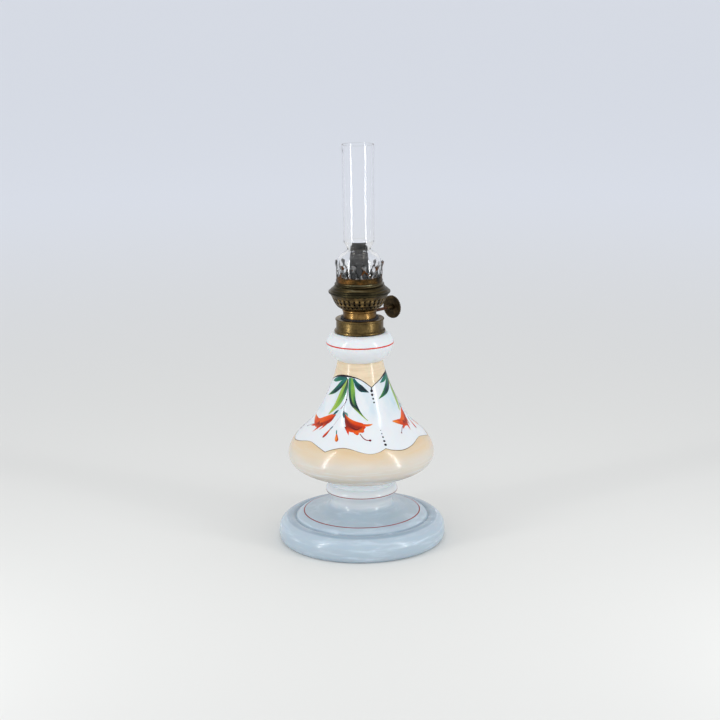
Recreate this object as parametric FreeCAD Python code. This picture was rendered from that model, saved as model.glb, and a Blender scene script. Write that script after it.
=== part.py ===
import FreeCAD, Part
import math
import os

# Oil lamp: opal-glass foot and fount, cemented brass collar, round-wick burner, glass chimney.
# Millimetres, +Z up. The origin is on the table at the lamp's axis, and the winder shaft is along +X.
# Outlines are (radius, height) pairs about the lamp's axis.

V = FreeCAD.Vector
UP = V(0, 0, 1)
EAST = V(1, 0, 0)
ORIGIN = V(0, 0, 0)

# Driving heights, from the table upwards
WAIST_Z = 44.0            # joint of foot and fount
NECK_GROOVE_Z = 141.6     # groove between the fount's cone and its neck bulge
COLLAR_Z = 163.0          # bottom of the brass collar
COLLAR_TOP_Z = 173.8
GASKET = 0.8
NECK_Z = COLLAR_TOP_Z + GASKET
PLATE_Z = 179.0           # burner floor, top of the burner's neck
BASKET_Z = 181.0
RIM_Z = 194.2             # widest line of the basket
CROWN_Z = 201.8           # bottom of the crown's band
SEAT_Z = 206.2            # face that the chimney stands on
PRONG_TOP_Z = 218.0
LEDGE_Z = 219.0           # joint of wick tube and its windowed cap
CAP_TOP_Z = 228.8
CHIMNEY_TOP_Z = 304.5

# Driving radii
FOOT_R = 64.2
REST_FACE_R = (54.5, 61.4)
PEG_R = 13.2
SOCKET_R = 14.0
GLASS_NECK_R = 16.2
GLASS_MOUTH_R = 13.6
COLLAR_BORE_R = 12.3
COLLAR_R = 17.9
NECK_R = 12.6
NECK_BORE_R = 11.7
RIM_R = 23.4
CROWN_R = 17.0
PRONG_TIP_R = 19.4
CHIMNEY_BASE_R = 16.4
TUBE_BORE_R = 6.1
TUBE_R = 6.5
CHIMNEY_WALL = 1.2

# Clearances and sheet thicknesses
SHEET = 0.5
THREAD_PLAY = 0.08
SHAFT_PLAY = 0.06

# Wick winder
SHAFT_Z = 176.6
SHAFT_R = 1.2
SHAFT_X = (-10.4, 36.0)
WHEEL_X = 34.6            # inner face of the thumbwheel
WHEEL_T = 1.4
WHEEL_R = 8.9
BOSS_LENGTH = 5.5
WHEEL_RIBS = 36
SPUR_R = 3.0
SPUR_T = 0.8
SPUR_TEETH = 12
LUG_X = 8.6               # inner face of each bracket lug
LUG_T = 1.0
STOP_R = 1.9

# Wick: rolled flat band, open along a seam at -Y, with the lower part only on the +Y side
WICK_R = (3.7, 5.7)
WICK_TOP_Z = 221.5
WICK_FULL_Z = 190.0       # below this the band is opened out beside the shaft
WICK_BOTTOM_Z = 150.0
WICK_EDGE_Y = 1.7
WICK_SEAM = 2.4
TAIL_BOTTOM_Z = 64.0
AIR_TUBE_R = (2.9, 3.3)
AIR_TUBE_Z = (184.0, 226.6)

# Counts
PRONGS = 12
SLOTS = 32
WINDOWS = 4
WINDOW_ARC = 82.0         # degrees of the cap's wall that each window takes
WINDOW_START = 255.0      # one edge of the first window, from +X
PLATE_HOLES = 16


def at(r, z):
    return V(r, 0, z)


def line(a, b):
    return Part.makeLine(at(*a), at(*b))


def arc(a, mid, b):
    return Part.Arc(at(*a), at(*mid), at(*b)).toShape()


def smooth(points):
    curve = Part.BSplineCurve()
    curve.interpolate([at(*p) for p in points])
    return curve


def chain(points):
    return [line(a, b) for a, b in zip(points, points[1:])]


def turned(edges):
    """Solid of revolution about the lamp's axis from a closed run of edges."""
    face = Part.Face(Part.Wire(Part.__sortEdges__(edges)))
    return face.revolve(ORIGIN, UP, 360)


def turned_polygon(points):
    return turned(chain(points + points[:1]))


def ring(r_in, r_out, z_low, z_high):
    return turned_polygon([(r_in, z_low), (r_out, z_low), (r_out, z_high), (r_in, z_high)])


def box(x, y, z):
    return Part.makeBox(x[1] - x[0], y[1] - y[0], z[1] - z[0], V(x[0], y[0], z[0]))


def x_rod(radius, x_low, x_high):
    return Part.makeCylinder(radius, x_high - x_low, V(x_low, 0, SHAFT_Z), EAST)


def x_washer(r_in, r_out, x_low, x_high):
    return x_rod(r_out, x_low, x_high).cut(x_rod(r_in, x_low - 1, x_high + 1))


def round_copies(shape, count, start=0.0):
    copies = []
    for i in range(count):
        copy = shape.copy()
        copy.rotate(ORIGIN, UP, start + 360.0 * i / count)
        copies.append(copy)
    return copies


def inset(points, wall):
    """The same outline moved inwards by the wall, square to the curve."""
    curve = smooth(points)
    moved = []
    for r, z in points:
        tangent = curve.tangent(curve.parameter(at(r, z)))[0]
        moved.append((r - wall * tangent.z, z + wall * tangent.x))
    return moved


def glass_foot():
    rest_in, rest_out = REST_FACE_R
    rim = smooth([(rest_out, 0), (63.6, 2.4), (FOOT_R, 7.2), (63.3, 12.2), (60.8, 15.6),
                  (57.0, 17.8), (53.4, 18.3), (51.2, 17.4)])
    tier = smooth([(51.2, 17.4), (48.9, 19.8), (44.9, 21.7), (36.0, 22.9), (29.0, 24.8),
                   (24.4, 28.0), (23.4, 31.2), (25.2, 35.4), (27.7, 39.2), (26.6, 42.2),
                   (24.6, WAIST_Z)])
    hollow = smooth([(16.0, 21.0), (32.0, 17.4), (45.0, 12.6), (52.0, 6.4), (rest_in, 0)])
    edges = [rim.toShape(), tier.toShape(), hollow.toShape()]
    edges += chain([(24.6, WAIST_Z), (SOCKET_R, WAIST_Z), (SOCKET_R, 33.0), (0, 33.0),
                    (0, 21.0), (16.0, 21.0)])
    edges.append(line((rest_in, 0), (rest_out, 0)))
    return turned(edges)


def foot_cement():
    return turned_polygon([(0, 33.0), (SOCKET_R, 33.0), (SOCKET_R, WAIST_Z), (PEG_R, WAIST_Z),
                           (PEG_R, 34.0), (0, 34.0)])


def glass_fount():
    cone = [(24.6, WAIST_Z), (35.0, 51.3), (44.6, 55.5), (52.3, 60.4), (55.9, 67.5), (53.9, 76.5),
            (49.6, 83.0), (42.2, 90.2), (35.9, 97.0), (31.2, 104.4), (23.1, 121.0),
            (17.2, NECK_GROOVE_Z)]
    bulge = [(17.2, NECK_GROOVE_Z), (20.2, 143.9), (23.9, 148.8), (25.6, 154.9), (24.2, 159.4),
             (19.8, COLLAR_Z)]
    wall = 3.0
    inner_cone = inset(cone[1:], wall)
    inner_bulge = inset(bulge[1:-1], wall)
    outer = [smooth(cone).toShape(), smooth(bulge).toShape()]
    outer += chain([(19.8, COLLAR_Z), (GLASS_NECK_R, COLLAR_Z), (GLASS_NECK_R, 171.0),
                    (GLASS_MOUTH_R, 171.0), (GLASS_MOUTH_R, 164.0)])
    cavity = smooth([(0.0, 50.6)] + inner_cone)
    throat = smooth([inner_cone[-1]] + inner_bulge + [(GLASS_MOUTH_R, 164.0)])
    peg = chain([(0, 50.6), (0, 34.0), (PEG_R, 34.0), (PEG_R, WAIST_Z), (24.6, WAIST_Z)])
    return turned(outer + [cavity.toShape(), throat.toShape()] + peg)


def collar():
    shell_r = COLLAR_R - SHEET
    skirt_r = COLLAR_BORE_R + SHEET
    lid_z = COLLAR_TOP_Z - SHEET
    edges = chain([(shell_r, lid_z), (shell_r, 164.2), (18.5, COLLAR_Z + 0.05)])
    edges.append(arc((18.5, COLLAR_Z + 0.05), (19.4, 164.2), (18.4, 165.3)))
    edges += chain([(18.4, 165.3), (COLLAR_R, 165.8), (COLLAR_R, 172.2)])
    edges.append(arc((COLLAR_R, 172.2), (18.5, 173.0), (18.0, COLLAR_TOP_Z)))
    edges += chain([(18.0, COLLAR_TOP_Z), (COLLAR_BORE_R, COLLAR_TOP_Z), (COLLAR_BORE_R, 161.0),
                    (skirt_r, 161.0), (skirt_r, lid_z), (shell_r, lid_z)])
    return turned(edges)


def collar_cement():
    shell_r = COLLAR_R - SHEET
    lid_z = COLLAR_TOP_Z - SHEET
    return turned_polygon([(GLASS_NECK_R, 164.2), (shell_r, 164.2), (shell_r, lid_z),
                           (COLLAR_BORE_R + SHEET, lid_z), (COLLAR_BORE_R + SHEET, 171.0),
                           (GLASS_NECK_R, 171.0)])


def burner_gasket():
    return ring(COLLAR_BORE_R + 0.1, 14.4, COLLAR_TOP_Z, NECK_Z)


def burner_sleeve():
    thread_r = COLLAR_BORE_R - THREAD_PLAY
    body = turned_polygon([(NECK_BORE_R, 163.0), (thread_r, 163.0), (thread_r, NECK_Z),
                           (NECK_R, NECK_Z), (NECK_R, PLATE_Z), (NECK_BORE_R, PLATE_Z)])
    return body.cut(x_rod(1.9, 0, NECK_R + 2))


def sleeve_bead():
    edges = [arc((12.6, PLATE_Z), (13.1, 180.0), (12.6, BASKET_Z))]
    edges += chain([(12.6, BASKET_Z), (11.9, BASKET_Z), (11.9, PLATE_Z), (12.6, PLATE_Z)])
    return turned(edges)


def base_plate():
    return ring(TUBE_R, 11.9, PLATE_Z, PLATE_Z + 0.8)


def shaft_bracket():
    lug = box((LUG_X, LUG_X + LUG_T), (-2.4, 2.4), (SHAFT_Z - 2.2, PLATE_Z))
    lug = lug.cut(x_rod(SHAFT_R + SHAFT_PLAY, 0, 12))
    return Part.makeCompound(round_copies(lug, 2))


def shaft_guide():
    return x_washer(SHAFT_R + SHAFT_PLAY, 1.9, 10.6, 15.8)


def radial_prism(outline_edges, depth):
    """Prism along +X from an outline drawn in the YZ plane at x = 0."""
    face = Part.Face(Part.Wire(Part.__sortEdges__(outline_edges)))
    return face.extrude(V(depth, 0, 0))


def keyhole(z, length, head, tail):
    """Upright slot: round head above, narrow waist, wider round end below."""
    upper = Part.makeCylinder(head, 30, V(0, 0, z + length / 2 - head), EAST)
    lower = Part.makeCylinder(tail, 30, V(0, 0, z - length / 2 + tail), EAST)
    waist = box((0, 30), (-0.45 * head, 0.45 * head), (z - length / 4, z + length / 4))
    return upper.fuse([lower, waist])


def air_basket():
    outer = [(13.2, 181.3), (16.1, 182.6), (18.5, 185.4), (19.8, 187.9), (20.9, 190.4), (22.4, 193.0)]
    inner = [(12.4, 181.6)] + inset(outer, SHEET)[1:]
    edges = [smooth(outer).toShape(), smooth(inner).toShape(), line(outer[-1], inner[-1])]
    edges += chain([inner[0], (12.0, 181.6), (12.0, BASKET_Z), (12.8, BASKET_Z), outer[0]])
    shell = turned(edges)
    cutters = round_copies(keyhole(188.4, 4.4, 0.75, 0.95), SLOTS)
    cutters += round_copies(Part.makeCylinder(0.85, 30, V(0, 0, 184.2), EAST), SLOTS, 180.0 / SLOTS)
    return shell.cut(Part.makeCompound(cutters))


def gallery():
    edges = [arc((22.5, 193.2), (RIM_R, RIM_Z), (22.5, 195.1))]
    edges += chain([(22.5, 195.1), (22.0, 195.2)])
    edges.append(arc((22.0, 195.2), (21.5, 196.3), (20.5, 196.8)))
    edges += chain([(20.5, 196.8), (20.2, 196.7)])
    edges.append(arc((20.2, 196.7), (19.5, 198.1), (18.3, 199.1)))
    edges += chain([(18.3, 199.1), (18.0, 199.0), (18.2, 199.4)])
    edges.append(arc((18.2, 199.4), (18.7, 200.0), (18.0, 200.7)))
    edges += chain([(18.0, 200.7), (17.4, 201.0), (17.4, CROWN_Z), (16.2, CROWN_Z), (16.2, 201.0),
                    (17.2, 200.2), (17.2, 198.8)])
    edges.append(smooth([(17.2, 198.8), (18.7, 197.6), (20.0, 195.9), (21.6, 194.6)]).toShape())
    edges += chain([(21.6, 194.6), (22.5, 194.2), (22.5, 193.2)])
    return turned(edges)


def chimney_seat():
    return turned_polygon([(13.0, SEAT_Z - SHEET), (CROWN_R - 0.45, SEAT_Z - SHEET),
                           (CROWN_R - 0.45, SEAT_Z), (13.0, SEAT_Z)])


def prong_outline():
    """Half outline of one prong as (across, height), from its root to its tip."""
    return [(4.2, SEAT_Z - 0.4), (3.7, 208.0), (2.0, 210.8), (1.25, 212.9), (2.1, 214.4),
            (2.5, 216.0), (1.6, 217.5), (0, PRONG_TOP_Z)]


def crown():
    wall = 0.4
    lean = [(CROWN_R, CROWN_Z), (CROWN_R, 207.0), (17.2, 211.5), (18.1, 215.0),
            (PRONG_TIP_R, PRONG_TOP_Z + 0.2)]
    back = [(r - wall, z) for r, z in lean]
    shell = turned([smooth(lean).toShape(), smooth(back).toShape(), line(lean[0], back[0]),
                    line(lean[-1], back[-1])])
    half = [V(0, y, z) for y, z in prong_outline()]
    curve = Part.BSplineCurve()
    curve.interpolate(half + [V(0, -p.y, p.z) for p in reversed(half[:-1])])
    leaf = radial_prism([curve.toShape(), Part.makeLine(V(0, -4.2, SEAT_Z - 0.4), V(0, 4.2, SEAT_Z - 0.4))], 30)
    drop = [V(0, 1.35, 207.6), V(0, 0, 210.9), V(0, -1.35, 207.6)]
    eye = Part.makeCylinder(1.4, 30, V(0, 0, 207.7), EAST)
    eye = eye.fuse(Part.Face(Part.makePolygon(drop + drop[:1])).extrude(V(30, 0, 0)))
    prong = shell.common(leaf.cut(eye))
    band = shell.common(Part.makeCylinder(30, SEAT_Z - CROWN_Z, V(0, 0, CROWN_Z)))
    return band.fuse(round_copies(prong, PRONGS)).removeSplitter()


def air_plate():
    plate = ring(7.1, 19.4, 196.0, 196.4)
    cutters = []
    for radius in (10.6, 14.6):
        hole = Part.makeCylinder(1.1, 3, V(radius, 0, 195.0))
        cutters += round_copies(hole, PLATE_HOLES, radius)
    return plate.cut(Part.makeCompound(cutters))


def wick_tube():
    tube = turned_polygon([(TUBE_BORE_R, 168.0), (TUBE_R, 168.0), (TUBE_R, 194.0), (7.1, 196.4),
                           (7.1, 218.4), (6.9, LEDGE_Z), (TUBE_BORE_R, LEDGE_Z)])
    air_door = box((-9, 9), (-9, WICK_EDGE_Y), (160, 184))
    return tube.cut(air_door)


def tube_cap():
    edges = chain([(TUBE_BORE_R, LEDGE_Z), (7.0, LEDGE_Z)])
    edges.append(arc((7.0, LEDGE_Z), (7.15, 219.4), (6.9, 219.8)))
    edges += chain([(6.9, 219.8), (6.4, CAP_TOP_Z), (5.95, CAP_TOP_Z), (TUBE_BORE_R, 226.0),
                    (TUBE_BORE_R, LEDGE_Z)])
    window = Part.makeCylinder(9, 2.6, V(0, 0, 222.6), UP, WINDOW_ARC)
    window = window.cut(Part.makeCylinder(5, 4, V(0, 0, 222)))
    return turned(edges).cut(Part.makeCompound(round_copies(window, WINDOWS, WINDOW_START)))


def air_tube():
    tube = ring(AIR_TUBE_R[0], AIR_TUBE_R[1], *AIR_TUBE_Z)
    web = box((-0.5, 0.5), (-TUBE_BORE_R, -AIR_TUBE_R[0] - 0.1), (186, 200))
    outside = Part.makeCylinder(TUBE_BORE_R, 20, V(0, 0, 184))
    return tube.fuse(web.common(outside)).removeSplitter()


def wick():
    band = ring(WICK_R[0], WICK_R[1], WICK_BOTTOM_Z, WICK_TOP_Z)
    seam = box((-WICK_SEAM / 2, WICK_SEAM / 2), (-9, 0), (WICK_FULL_Z - 1, WICK_TOP_Z + 1))
    beside_shaft = box((-9, 9), (-9, WICK_EDGE_Y), (WICK_BOTTOM_Z - 1, WICK_FULL_Z))
    return band.cut(seam).cut(beside_shaft)


def wick_tails():
    strip = box((0.5, 5.0), (3.4, 4.7), (TAIL_BOTTOM_Z, WICK_BOTTOM_Z))
    return Part.makeCompound([strip, strip.mirror(ORIGIN, EAST)])


def toothed_disc(radius, root, teeth, x_low, x_high, bore):
    """Disc across the shaft with pointed teeth, or milling, round its edge."""
    points = []
    for i in range(2 * teeth):
        reach = radius if i % 2 == 0 else root
        angle = math.pi * i / teeth
        points.append(V(x_low, reach * math.cos(angle), SHAFT_Z + reach * math.sin(angle)))
    face = Part.Face(Part.makePolygon(points + points[:1]))
    return face.extrude(V(x_high - x_low, 0, 0)).cut(x_rod(bore, x_low - 1, x_high + 1))


def spur_wheels():
    discs = []
    for middle in (-1.4, 1.4):
        low = middle - SPUR_T / 2
        discs.append(toothed_disc(SPUR_R, 2.4, SPUR_TEETH, low, low + SPUR_T, SHAFT_R))
    return Part.makeCompound(discs)


def wick_shaft():
    return x_rod(SHAFT_R, *SHAFT_X)


def shaft_stops():
    inner = x_washer(SHAFT_R, STOP_R, LUG_X - 1.3, LUG_X - 0.1)
    return Part.makeCompound([inner, inner.mirror(ORIGIN, EAST)])


def thumbwheel():
    disc = toothed_disc(WHEEL_R, WHEEL_R - 0.45, WHEEL_RIBS, WHEEL_X, WHEEL_X + WHEEL_T, SHAFT_R)
    boss = Part.makeCone(1.5, 2.1, BOSS_LENGTH, V(WHEEL_X - BOSS_LENGTH, 0, SHAFT_Z), EAST)
    return disc.fuse(boss.cut(x_rod(SHAFT_R, WHEEL_X - BOSS_LENGTH - 1, WHEEL_X + 1)))


def thumbwheel_rivet():
    dome = Part.makeSphere(2.2, V(SHAFT_X[1] - 1.1, 0, SHAFT_Z))
    return dome.common(x_rod(3, SHAFT_X[1], SHAFT_X[1] + 2))


def chimney():
    outer = [(CHIMNEY_BASE_R, 214.0), (16.2, 218.4), (14.6, 221.6), (11.4, 223.9), (9.0, 226.3), (10.4, 229.6),
             (11.4, 232.8)]
    flue = smooth([(11.4, 232.8), (11.6, 263.0), (11.7, 287.0), (12.1, CHIMNEY_TOP_Z)])
    inner = inset(outer, CHIMNEY_WALL)
    inner_flue = smooth([inner[-1], (10.4, 263.0), (10.5, 287.0), (10.9, CHIMNEY_TOP_Z)])
    edges = [smooth(outer).toShape(), flue.toShape(), smooth(inner).toShape(), inner_flue.toShape()]
    edges.append(line((12.1, CHIMNEY_TOP_Z), (10.9, CHIMNEY_TOP_Z)))
    edges += chain([inner[0], (inner[0][0], SEAT_Z), (CHIMNEY_BASE_R, SEAT_Z), outer[0]])
    return turned(edges)


NODES = [glass_foot, foot_cement, glass_fount, collar, collar_cement, burner_gasket, burner_sleeve,
         sleeve_bead, base_plate, shaft_bracket, shaft_guide, air_basket, gallery, chimney_seat, crown,
         air_plate, wick_tube, tube_cap, air_tube, wick, wick_tails, spur_wheels, wick_shaft,
         shaft_stops, thumbwheel, thumbwheel_rivet, chimney]

os.makedirs("parts", exist_ok=True)
for build in NODES:
    shape = build()
    shape.exportStep("parts/" + build.__name__ + ".step")
    print(f"{build.__name__:18s} solids {len(shape.Solids)} volume {shape.Volume:10.1f} "
          f"valid {shape.isValid()}")
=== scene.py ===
import math
import random

import bpy
from mathutils import Matrix, Vector, noise
from mathutils.bvhtree import BVHTree


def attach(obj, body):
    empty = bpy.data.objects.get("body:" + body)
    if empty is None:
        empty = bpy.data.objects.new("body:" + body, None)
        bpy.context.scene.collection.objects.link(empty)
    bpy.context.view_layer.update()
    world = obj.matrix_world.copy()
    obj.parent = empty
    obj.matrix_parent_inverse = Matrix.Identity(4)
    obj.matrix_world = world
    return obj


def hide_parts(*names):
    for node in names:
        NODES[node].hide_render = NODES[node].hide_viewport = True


# Oil lamp with a painted opal-glass body. Metres; painting and profile values are in millimetres.
# "Bearing" is an angle round the lamp in degrees, 0 facing the camera and positive to its right.

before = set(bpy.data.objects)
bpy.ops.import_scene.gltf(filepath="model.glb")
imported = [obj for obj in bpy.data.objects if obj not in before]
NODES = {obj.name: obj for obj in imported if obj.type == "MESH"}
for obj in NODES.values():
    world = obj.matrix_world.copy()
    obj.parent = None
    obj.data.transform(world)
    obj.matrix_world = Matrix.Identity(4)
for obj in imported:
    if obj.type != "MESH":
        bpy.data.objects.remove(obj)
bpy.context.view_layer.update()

MM = 0.001
VIEW_AZIMUTH = -45.0                 # camera's place round the lamp, 0 looking along +Y
FRONT = math.radians(270.0 + VIEW_AZIMUTH)   # polar angle that faces the camera
BASKET_SLOTS = 32.0
LATTICE_PITCH = 1.9                  # radians of relief per millimetre of height
LATTICE_LOW = (182.0, 183.0)         # the basket's relief starts between these heights
LATTICE_HIGH = (191.6, 190.8)        # and ends between these
PANELS = 3                           # the painting repeats three times round the body
PANEL_TURN = 360.0 / PANELS
SEAM = 22.0                          # bearing of the dotted seam between two panels


# ---------------------------------------------------------------- materials

class Finish:
    """One material's node tree, built in short steps round its Principled shader."""

    def __init__(self, name, **sockets):
        self.material = bpy.data.materials.new(name)
        self.material.use_nodes = True
        self.tree = self.material.node_tree
        self.shader = self.tree.nodes["Principled BSDF"]
        for socket, value in sockets.items():
            self.shader.inputs[socket.replace("_", " ")].default_value = value

    def feed(self, socket, value):
        if isinstance(value, bpy.types.NodeSocket):
            self.tree.links.new(value, socket)
        else:
            socket.default_value = value

    def node(self, kind, inputs=None, **settings):
        made = self.tree.nodes.new("ShaderNode" + kind)
        for key, value in settings.items():
            setattr(made, key, value)
        for key, value in (inputs or {}).items():
            self.feed(made.inputs[key], value)
        return made

    def math(self, operation, a, b=0.0, c=0.0):
        made = self.node("Math", {0: a, 1: b, 2: c}, operation=operation)
        return made.outputs[0]

    def place(self):
        return self.node("TexCoord").outputs["Object"]

    def stretched(self, x, y, z):
        made = self.node("Mapping", {"Vector": self.place(), "Scale": (x, y, z)})
        return made.outputs[0]

    def noise(self, scale, detail=4.0, roughness=0.55, vector=None, distortion=0.0):
        vector = self.place() if vector is None else vector
        made = self.node("TexNoise", {"Vector": vector, "Scale": scale, "Detail": detail,
                                      "Roughness": roughness, "Distortion": distortion})
        return made.outputs["Fac"]

    def ramp(self, factor, *stops):
        made = self.node("ValToRGB", {"Fac": factor})
        ends = made.color_ramp.elements
        while len(ends) < len(stops):
            ends.new(0.5)
        for end, (position, colour) in zip(ends, stops):
            end.position = position
            end.color = colour if isinstance(colour, tuple) else (colour, colour, colour, 1.0)
        return made.outputs["Color"]

    def mix(self, factor, a, b, blend="MIX"):
        made = self.node("Mix", data_type="RGBA", blend_type=blend)
        self.feed(made.inputs[0], factor)
        self.feed(made.inputs[6], a)
        self.feed(made.inputs[7], b)
        return made.outputs[2]

    def step(self, value, start, end):
        """0 below start, 1 above end, smooth between."""
        made = self.node("MapRange", {"Value": value, "From Min": start, "From Max": end},
                         interpolation_type="SMOOTHSTEP")
        return made.outputs["Result"]

    def zone(self, value, low, high):
        """1 between low and high, fading to 0 over each pair's span."""
        return self.math("MULTIPLY", self.step(value, *low), self.step(value, *high))

    def polar(self):
        """Angle round the lamp's axis, in radians."""
        axes = self.node("SeparateXYZ", {0: self.place()})
        return self.math("ARCTAN2", axes.outputs["Y"], axes.outputs["X"])

    def height_mm(self):
        axes = self.node("SeparateXYZ", {0: self.place()})
        return self.math("MULTIPLY", axes.outputs["Z"], 1.0 / MM)

    def bump(self, height, strength, distance=0.0002):
        made = self.node("Bump", {"Height": height, "Strength": strength, "Distance": distance})
        self.feed(self.shader.inputs["Normal"], made.outputs[0])

    def colour(self, value):
        self.feed(self.shader.inputs["Base Color"], value)

    def roughness(self, value):
        self.feed(self.shader.inputs["Roughness"], value)


def srgb(r, g, b):
    """Linear colour from 0-255 display values."""
    def channel(v):
        v /= 255.0
        return v / 12.92 if v <= 0.04045 else ((v + 0.055) / 1.055) ** 2.4
    return (channel(r), channel(g), channel(b), 1.0)


WHITE_OPAL = srgb(215, 219, 222)
PEACH = srgb(211, 190, 159)
PEACH_DEEP = srgb(207, 180, 140)
PEACH_PALE = srgb(207, 200, 188)
# Whiter than WHITE_OPAL for the fount's waist: painted light against the shade under the belly.
WAIST_LIGHTENED_WHITE = srgb(240, 245, 247)
BLUE_WASH = srgb(186, 206, 216)
FOOT_BLUE = srgb(168, 184, 196)
FOOT_SHADE = srgb(164, 182, 196)


def wear(finish, dark, body, light, scale, rough=(0.35, 0.6), bump=0.25):
    """Patchy patina: large stains, fine speckle, and brighter rubbed spots."""
    stains = finish.noise(scale, 5.0, 0.6)
    speckle = finish.noise(scale * 7.0, 3.0, 0.5)
    base = finish.ramp(stains, (0.30, dark), (0.52, body), (0.75, light))
    spots = finish.ramp(speckle, (0.30, 0.72), (0.62, 1.1))
    finish.colour(finish.mix(1.0, base, spots, "MULTIPLY"))
    finish.roughness(finish.ramp(stains, (0.25, rough[1]), (0.8, rough[0])))
    finish.bump(speckle, bump, 0.0001)
    return finish.material


def dark_brass():
    finish = Finish("dark_brass", Metallic=1.0)
    return wear(finish, srgb(34, 29, 22), srgb(70, 60, 44), srgb(116, 98, 68), 130.0, (0.3, 0.5))


def gallery_brass():
    """Dark brass with rust-brown streaks and grey-green painted highlights along its turned mouldings."""
    finish = Finish("gallery_brass", Metallic=1.0)
    level = finish.noise(26.0, 5.0, 0.65, finish.stretched(1.0, 1.0, 22.0), 0.3)
    stains = finish.noise(120.0, 5.0, 0.6)
    # the lightest, grey-green stop is painted highlight on the mouldings; the darker stops are patina
    base = finish.ramp(level, (0.34, srgb(28, 25, 18)), (0.46, srgb(56, 51, 33)), (0.56, srgb(72, 59, 36)),
                       (0.66, srgb(122, 118, 92)))
    finish.colour(finish.mix(1.0, base, finish.ramp(stains, (0.3, 0.7), (0.7, 1.25)), "MULTIPLY"))
    finish.roughness(finish.ramp(stains, (0.3, 0.5), (0.75, 0.28)))
    finish.bump(level, 0.3, 0.0002)
    return finish.material


# Near-black for the air tube: painted shade for the inside of the cap, seen through its slots.
def painted_shade_black():
    finish = Finish("painted_shade_black", Roughness=0.9, Specular_IOR_Level=0.1)
    grains = finish.noise(700.0, 4.0, 0.6)
    finish.colour(finish.ramp(grains, (0.3, srgb(12, 11, 10)), (0.7, srgb(34, 30, 26))))
    finish.bump(grains, 0.3)
    return finish.material


def collar_brass():
    finish = Finish("collar_brass", Metallic=1.0)
    return wear(finish, srgb(58, 48, 30), srgb(106, 88, 54), srgb(160, 134, 86), 90.0, (0.22, 0.42))


def golden_brass():
    finish = Finish("golden_brass", Metallic=1.0)
    return wear(finish, srgb(78, 58, 33), srgb(124, 94, 53), srgb(170, 136, 84), 110.0, (0.22, 0.4))


PRONG_COLOUR_Z = (205.6, 207.4)      # the band's colours give way to the prongs' here


def heat_tinted_brass():
    """Crown: rusty band, and prongs in patches of soot, bare grey and rust."""
    finish = Finish("heat_tinted_brass", Metallic=1.0)
    patches = finish.noise(130.0, 3.0, 0.6)
    speckle = finish.noise(900.0, 3.0, 0.5)
    prongs = finish.ramp(patches, (0.36, srgb(38, 38, 38)), (0.46, srgb(96, 98, 98)),
                         (0.54, srgb(150, 152, 154)), (0.60, srgb(86, 56, 34)), (0.7, srgb(112, 70, 36)))
    band = finish.ramp(patches, (0.34, srgb(38, 34, 24)), (0.5, srgb(76, 56, 28)),
                       (0.66, srgb(112, 76, 38)))
    base = finish.mix(finish.step(finish.height_mm(), *PRONG_COLOUR_Z), band, prongs)
    finish.colour(finish.mix(1.0, base, finish.ramp(speckle, (0.3, 0.65), (0.65, 1.1)), "MULTIPLY"))
    finish.roughness(finish.ramp(speckle, (0.3, 0.3), (0.7, 0.55)))
    finish.bump(speckle, 0.2, 0.0001)
    return finish.material


def basket_brass():
    """Dark brass with the basket's pressed lattice raised between its holes."""
    finish = Finish("basket_brass", Metallic=1.0)
    column = finish.math("COSINE", finish.math("MULTIPLY", finish.polar(), BASKET_SLOTS))
    height = finish.height_mm()
    rows = finish.math("SINE", finish.math("MULTIPLY", height, LATTICE_PITCH))
    lattice = finish.math("MULTIPLY_ADD", column, -0.5, finish.math("MULTIPLY", rows, 0.5))
    relief = finish.math("MULTIPLY", lattice, finish.zone(height, LATTICE_LOW, LATTICE_HIGH))
    stains = finish.noise(140.0, 5.0, 0.6)
    base = finish.ramp(stains, (0.3, srgb(44, 35, 24)), (0.5, srgb(92, 77, 50)), (0.72, srgb(142, 116, 72)))
    crests = finish.ramp(relief, (0.0, 0.75), (0.6, 1.25))
    finish.colour(finish.mix(1.0, base, crests, "MULTIPLY"))
    finish.roughness(finish.ramp(stains, (0.3, 0.5), (0.75, 0.3)))
    finish.bump(relief, 0.9, 0.0004)
    return finish.material


def wick_tube_metal():
    finish = Finish("wick_tube_metal", Metallic=1.0)
    return wear(finish, srgb(15, 15, 14), srgb(29, 29, 27), srgb(58, 52, 42), 160.0, (0.3, 0.5))


def browned_steel():
    finish = Finish("browned_steel", Metallic=0.8)
    return wear(finish, srgb(42, 26, 20), srgb(84, 54, 38), srgb(124, 84, 60), 320.0, (0.35, 0.6))


def wheel_metal():
    finish = Finish("wheel_metal", Metallic=0.9)
    return wear(finish, srgb(38, 30, 18), srgb(70, 56, 34), srgb(106, 84, 52), 220.0, (0.3, 0.55))


def plaster():
    finish = Finish("plaster", Roughness=0.95)
    grains = finish.noise(1200.0, 4.0, 0.6)
    finish.colour(finish.ramp(grains, (0.3, srgb(176, 170, 156)), (0.7, srgb(212, 206, 192))))
    finish.bump(grains, 0.5)
    return finish.material


# Bluish near-black for burner_gasket, the ring between the collar's top and the burner's neck: painted
# shadow of the gap there.
def washer():
    finish = Finish("washer")
    grains = finish.noise(1500.0, 3.0)
    finish.colour(finish.ramp(grains, (0.3, srgb(14, 14, 20)), (0.7, srgb(34, 32, 40))))
    finish.roughness(finish.ramp(grains, (0.3, 0.5), (0.7, 0.75)))
    finish.bump(grains, 0.3)
    return finish.material


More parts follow.
